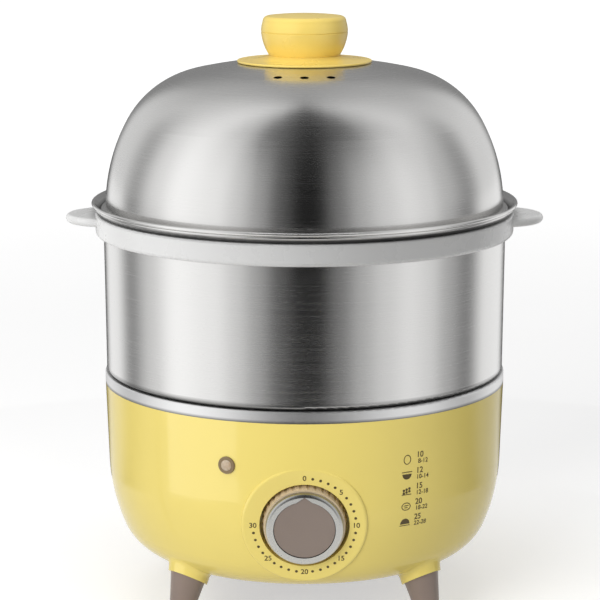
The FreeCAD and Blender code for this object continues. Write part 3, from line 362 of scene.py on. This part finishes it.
ink = plastic("print_olive", (0.07, 0.045, 0.006), 0.45, grain=3000.0, mottle=0.12)
housing = cad_nodes["base_shell"].data
housing_tree = BVHTree.FromPolygons([v.co[:] for v in housing.vertices],
                                    [p.vertices[:] for p in housing.polygons])


def new_object(name, points, faces, material):
    mesh = bpy.data.meshes.new(name)
    mesh.from_pydata([tuple(p) for p in points], [], faces)
    mesh.materials.append(material)
    thing = bpy.data.objects.new(name, mesh)
    scene.collection.objects.link(thing)
    return thing


def add_piece(name, points, faces, material, body):
    piece = new_object(name, points, faces, material)
    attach(piece, body)


def number_shape(text, height):
    """Flat outline of a number, centred on the origin, as points and faces."""
    curve = bpy.data.curves.new("number", "FONT")
    curve.body = text
    curve.size = height
    curve.align_x = "CENTER"
    curve.align_y = "CENTER"
    curve.offset = height * STROKE_GROWTH
    holder = bpy.data.objects.new("number", curve)
    mesh = bpy.data.meshes.new_from_object(holder)
    points = [(v.co.x, v.co.y) for v in mesh.vertices]
    faces = [tuple(p.vertices) for p in mesh.polygons]
    bpy.data.objects.remove(holder)
    bpy.data.meshes.remove(mesh)
    return points, faces


def disc_shape(width, height, count=28, start=0.0, end=2 * pi):
    """Filled ellipse, or the part of it from one angle to another."""
    whole = end - start >= 2 * pi
    turns = [start + (end - start) * k / count for k in range(count if whole else count + 1)]
    points = [(width / 2 * cos(turn), height / 2 * sin(turn)) for turn in turns]
    return points, [tuple(range(len(points)))]


def ring_shape(width, height, line, count=40):
    points = []
    for grow in (0.0, -line):
        points += disc_shape(width + 2 * grow, height + 2 * grow, count)[0]
    faces = [(k, (k + 1) % count, count + (k + 1) % count, count + k) for k in range(count)]
    return points, faces


def bar_shape(width, height):
    x, y = width / 2, height / 2
    return [(-x, -y), (x, -y), (x, y), (-x, y)], [(0, 1, 2, 3)]


def gather(shapes):
    """One set of points and faces from shapes given with their offsets."""
    points, faces = [], []
    for (shape_points, shape_faces), (dx, dy) in shapes:
        faces += [tuple(i + len(points) for i in face) for face in shape_faces]
        points += [(x + dx, y + dy) for x, y in shape_points]
    return points, faces


def on_dial(x, y):
    return DIAL_CENTRE + RIGHT * x + DIAL_UP * y + DIAL_OUT * INK_LIFT


def on_wall(azimuth, level):
    """Point just outside the housing's wall at an azimuth from the front and a height."""
    outward = Vector((sin(azimuth), -cos(azimuth), 0.0))
    start = outward * OUTSIDE_RADIUS + Vector((0, 0, level))
    hit, normal, _, _ = housing_tree.ray_cast(start, -outward)
    if normal.dot(outward) < 0:
        normal = -normal
    return hit + normal * INK_LIFT


def dial_scale():
    shapes = []
    for step in range(SCALE_MINUTES + 1):
        turn = radians(SCALE_STEP_DEG * step)
        at = (SCALE_RADIUS * sin(turn), SCALE_RADIUS * cos(turn))
        if step % DIGIT_EVERY == 0:
            shapes.append((number_shape(str(step), DIGIT_HEIGHT), at))
        else:
            shapes.append((disc_shape(DOT_SIZE, DOT_SIZE), at))
    points, faces = gather(shapes)
    placed = [on_dial(x, y) for x, y in points]
    add_piece("dial_scale_print", placed, faces, ink, "base")


def pictograms():
    """Flat shapes of an egg, a cup, a cob of corn, a root and a bun."""
    egg = gather([(ring_shape(0.0040, 0.0048, LINE), (0, 0))])
    cup = gather([(disc_shape(0.0050, 0.0052, 20, pi, 2 * pi), (0, 0.0006)),
                  (bar_shape(0.0056, LINE), (0, 0.0016))])
    grains = [(disc_shape(0.0013, 0.0013), (dx * 0.0015, dy * 0.0014 + 0.0004 * dx))
              for dx in (-1, 0, 1) for dy in (-0.5, 0.5)]
    cob = gather(grains + [(bar_shape(0.0052, LINE), (0, -0.0018))])
    root = gather([(ring_shape(0.0050, 0.0040, LINE), (0, 0)),
                   (bar_shape(0.0026, LINE), (0, 0.0004)),
                   (bar_shape(0.0018, LINE), (0, -0.0006))])
    bun = gather([(disc_shape(0.0052, 0.0056, 24, 0, pi), (0, -0.0012)),
                  (bar_shape(0.0056, LINE), (0, -0.0019))])
    return egg, cup, cob, root, bun


def cooking_marks():
    """A column of food pictograms, each with a number of minutes and a span."""
    shapes = []
    for row, (icon, (number, span)) in enumerate(zip(pictograms(), MINUTES)):
        level = -MARKS_PITCH * row
        shapes.append((icon, (0.0, level)))
        shapes.append((number_shape(number, MINUTES_HEIGHT),
                       (MINUTES_AT[0], level + MINUTES_AT[1])))
        shapes.append((number_shape(span, SPAN_HEIGHT), (SPAN_AT[0], level + SPAN_AT[1])))
    points, faces = gather(shapes)
    placed = [on_wall(MARKS_AZIMUTH + x / MARKS_WALL_RADIUS, MARKS_LEVEL + y) for x, y in points]
    add_piece("cooking_time_print", placed, faces, ink, "base")


dial_scale()
cooking_marks()


# Floor, reflection cards, lights and camera

FLOOR_REACH = 8.0
FLOOR_GLOW = (0.50, 0.84)  # near the object and far from it
FLOOR_GLOW_DISTANCES = (0.3, 2.2)
WORLD_SEEN = 1.0
WORLD_LIGHT = 0.30

# A tent of cards round the object, seen in reflections only. Each list gives its glow at azimuths
# in degrees from the front. The low part and the wall share their front.
TENT_STRENGTH = 1.24
TENT_SIDES = 96
TENT_RADIUS = 0.45
TENT_SEAM = 0.2
TENT_ROOF_LEVELS = (0.38, 0.70)
FRONT_GLOW = [(-70, 1.0), (-46, 0.86), (-34, 0.62), (-24, 0.36), (-12.5, 0.09), (-2, 0.008),
              (7, 0.008), (18, 0.17), (28.5, 0.41), (41, 0.62), (55, 0.77), (68, 0.66)]
LOW_GLOW = [(-180, 0.04), (-152, 0.04), (-137, 0.83), (-124, 0.83), (-106, 0.22), (-88, 0.62),
            *FRONT_GLOW,
            (79, 0.40), (95, 0.18), (114, 0.78), (137, 0.80), (152, 0.04), (180, 0.04)]
WALL_GLOW = [(-180, 0.20), (-154, 0.20), (-139, 0.60), (-122, 0.60), (-104, 0.34), (-86, 0.75),
             *FRONT_GLOW,
             (80, 0.48), (98, 0.26), (116, 0.62), (139, 0.62), (154, 0.20), (180, 0.20)]
ROOF_GLOW = [(-180, 0.34), (-140, 0.40), (-110, 0.58), (-70, 0.81), (-46, 0.53), (-28, 0.12),
             (4, 0.024), (34, 0.09), (60, 0.47), (80, 0.69), (110, 0.53), (140, 0.40), (180, 0.34)]
LOW_OUTLINE = [(0.25, 0.0006), (TENT_RADIUS, 0.0006), (TENT_RADIUS, TENT_SEAM)]
UPPER_OUTLINE = [(TENT_RADIUS, TENT_SEAM), (TENT_RADIUS, 0.4), (TENT_RADIUS, 0.62), (0.42, 0.85),
                 (0.05, 0.95), (0.001, 0.95)]

# A flag behind the side lamp hides the lamp's reflection from views from behind.
FLAG_X = (-0.105, -0.26)
FLAG_Y = -0.066
FLAG_Z = (0.001, 0.1)
FLAG_GLOW = 0.6


def plane(name, corners, material):
    thing = new_object(name, corners, [(0, 1, 2, 3)], material)
    return thing


def seen_rays(tree):
    """1 for what the camera, a reflection or glass sees, and 0 for light."""
    path = tree.nodes.new("ShaderNodeLightPath")
    seen = path.outputs["Is Camera Ray"]
    for kind in ("Is Glossy Ray", "Is Transmission Ray"):
        either = tree.nodes.new("ShaderNodeMath")
        either.operation = "MAXIMUM"
        tree.links.new(seen, either.inputs[0])
        tree.links.new(path.outputs[kind], either.inputs[1])
        seen = either.outputs[0]
    return seen


def floor():
    """White floor: lit and shadowed, and glowing more the farther it lies from the object."""
    look = Look("floor_white")
    cloud = look.noise(look.place(), scale=3.0, detail=2.0)
    look.set(base_color=look.drift(cloud, (0.72, 0.72, 0.72), (0.75, 0.75, 0.75)), roughness=0.9)
    away = look.add("ShaderNodeVectorMath", operation="LENGTH")
    look.join(look.place(), away.inputs[0])
    far = look.spread(away.outputs["Value"], *FLOOR_GLOW, *FLOOR_GLOW_DISTANCES, "SMOOTHSTEP")
    glow = look.add("ShaderNodeEmission")
    look.join(look.math("MULTIPLY", seen_rays(look.tree), far), glow.inputs["Strength"])
    both = look.add("ShaderNodeAddShader")
    look.join(look.shader.outputs[0], both.inputs[0])
    look.join(glow.outputs[0], both.inputs[1])
    look.join(both.outputs[0], look.output.inputs["Surface"])
    reach = FLOOR_REACH
    corners = [(-reach, -reach, 0), (reach, -reach, 0), (reach, reach, 0), (-reach, reach, 0)]
    plane("floor", corners, look.material)


def card_material(name, glows, strength, top_glows=None, levels=None):
    """Glow of a card that changes with the azimuth, and from one level to another."""
    look = Look(name)
    x, y, z = look.place_xyz()
    turn = look.math("ARCTAN2", x, look.math("MULTIPLY", y, -1.0))
    share = look.math("ADD", look.math("MULTIPLY", turn, 0.5 / pi), 0.5)

    def round_about(values):
        stops = [((at + 180.0) / 360.0, (value, value, value)) for at, value in values]
        return look.ramp(share, stops, "EASE")

    colour = round_about(glows)
    if top_glows:
        mix = look.add("ShaderNodeMix", data_type="RGBA")
        look.join(look.spread(z, 0.0, 1.0, *levels), mix.inputs["Factor"])
        look.join(colour, mix.inputs["A"])
        look.join(round_about(top_glows), mix.inputs["B"])
        colour = mix.outputs["Result"]
    glow = look.add("ShaderNodeEmission")
    look.join(colour, glow.inputs["Color"])
    glow.inputs["Strength"].default_value = strength
    look.join(glow.outputs[0], look.output.inputs["Surface"])
    look.material.cycles.emission_sampling = "NONE"
    return look.material


def only_in_gloss(thing):
    thing.visible_camera = False
    thing.visible_diffuse = False
    thing.visible_transmission = False
    thing.visible_volume_scatter = False
    thing.visible_shadow = False


def card(name, outline, material):
    """Card turned about the object from a line of (radius, height) points."""
    corners, faces = [], []
    for side in range(TENT_SIDES):
        turn = 2 * pi * side / TENT_SIDES
        corners += [(radius * sin(turn), -radius * cos(turn), level) for radius, level in outline]
    step = len(outline)
    for side in range(TENT_SIDES):
        here, there = side * step, (side + 1) % TENT_SIDES * step
        faces += [(here + i, there + i, there + i + 1, here + i + 1) for i in range(step - 1)]
    thing = new_object(name, corners, faces, material)
    only_in_gloss(thing)


def cards():
    low = card_material("tent_low", LOW_GLOW, TENT_STRENGTH)
    card("tent_low", LOW_OUTLINE, low)
    upper = card_material("tent_upper", WALL_GLOW, TENT_STRENGTH, ROOF_GLOW, TENT_ROOF_LEVELS)
    card("tent_upper", UPPER_OUTLINE, upper)
    flag = card_material("side_flag", [(-180, FLAG_GLOW), (180, FLAG_GLOW)], 1.0)
    corners = [(FLAG_X[i], FLAG_Y, FLAG_Z[j]) for i, j in ((0, 0), (1, 0), (1, 1), (0, 1))]
    only_in_gloss(plane("side_flag", corners, flag))


def world():
    """White where it is seen, and a weaker white as light."""
    settings = bpy.data.worlds.new("studio_world")
    settings.use_nodes = True
    tree = settings.node_tree
    tree.nodes.clear()
    mix = tree.nodes.new("ShaderNodeMixShader")
    tree.links.new(seen_rays(tree), mix.inputs["Fac"])
    for socket, strength in ((mix.inputs[1], WORLD_LIGHT), (mix.inputs[2], WORLD_SEEN)):
        white = tree.nodes.new("ShaderNodeBackground")
        white.inputs["Color"].default_value = (1, 1, 1, 1)
        white.inputs["Strength"].default_value = strength
        tree.links.new(white.outputs[0], socket)
    output = tree.nodes.new("ShaderNodeOutputWorld")
    tree.links.new(mix.outputs[0], output.inputs["Surface"])
    scene.world = settings


def area_light(name, place, target, size, power, only_on=None, leave_out=None, reflected=False):
    """Soft lamp for all, for one object or for all but one.

    A reflected lamp shows in gloss and lights nothing; the others light and show in no gloss.
    """
    data = bpy.data.lights.new(name, "AREA")
    data.shape = "RECTANGLE"
    data.size, data.size_y = size
    data.energy = power
    lamp = bpy.data.objects.new(name, data)
    lamp.location = place
    lamp.rotation_euler = (Vector(target) - Vector(place)).to_track_quat("-Z", "Y").to_euler()
    lamp.visible_glossy = reflected
    lamp.visible_diffuse = not reflected
    scene.collection.objects.link(lamp)
    if only_on or leave_out:
        receivers = bpy.data.collections.new(name + "_receivers")
        receivers.objects.link(bpy.data.objects[only_on or leave_out])
        if leave_out:
            receivers.collection_objects[0].light_linking.link_state = "EXCLUDE"
        lamp.light_linking.receiver_collection = receivers


def lights():
    area_light("key_light", place=(-0.70, -1.15, 0.65), target=(0, 0, 0.14),
               size=(0.8, 0.9), power=12.6, leave_out="bowl_collar")
    area_light("collar_light", place=(-1.25, -0.55, 0.45), target=(0, 0, 0.18),
               size=(0.5, 0.6), power=11.5, only_on="bowl_collar")
    area_light("collar_edge_light", place=(0.95, 0.75, 0.55), target=(0.1, 0, 0.18),
               size=(0.4, 0.5), power=3.0, only_on="bowl_collar")
    area_light("fill_light", place=(1.0, -0.9, 0.5), target=(0, 0, 0.14),
               size=(0.6, 0.8), power=1.0, leave_out="bowl_collar")
    area_light("rear_light", place=(0.35, 1.30, 0.75), target=(0, 0, 0.14),
               size=(1.0, 0.9), power=9.0, leave_out="floor")
    area_light("top_light", place=(-0.1, -0.25, 1.25), target=(0, 0, 0.15),
               size=(0.9, 0.7), power=5.0)
    area_light("side_box", place=(-0.190, -0.160, 0.047), target=(-0.065, -0.075, 0.058),
               size=(0.17, 0.075), power=0.10, only_on="base_shell", reflected=True)
    area_light("rim_strip", place=(0, -0.40, 0.55), target=(0, 0, 0.2),
               size=(0.5, 0.08), power=0.35, only_on="steamer_bowl", reflected=True)


def camera():
    data = bpy.data.cameras.new("camera")
    data.sensor_width = 36.0
    data.lens = 143.0
    data.shift_x = -0.0075
    eye = bpy.data.objects.new("camera", data)
    eye.location = (0.0, -1.176, 0.382)
    eye.rotation_euler = (radians(78.95), 0.0, 0.0)
    scene.collection.objects.link(eye)
    scene.camera = eye


floor()
cards()
world()
lights()
camera()

bpy.context.view_layer.update()
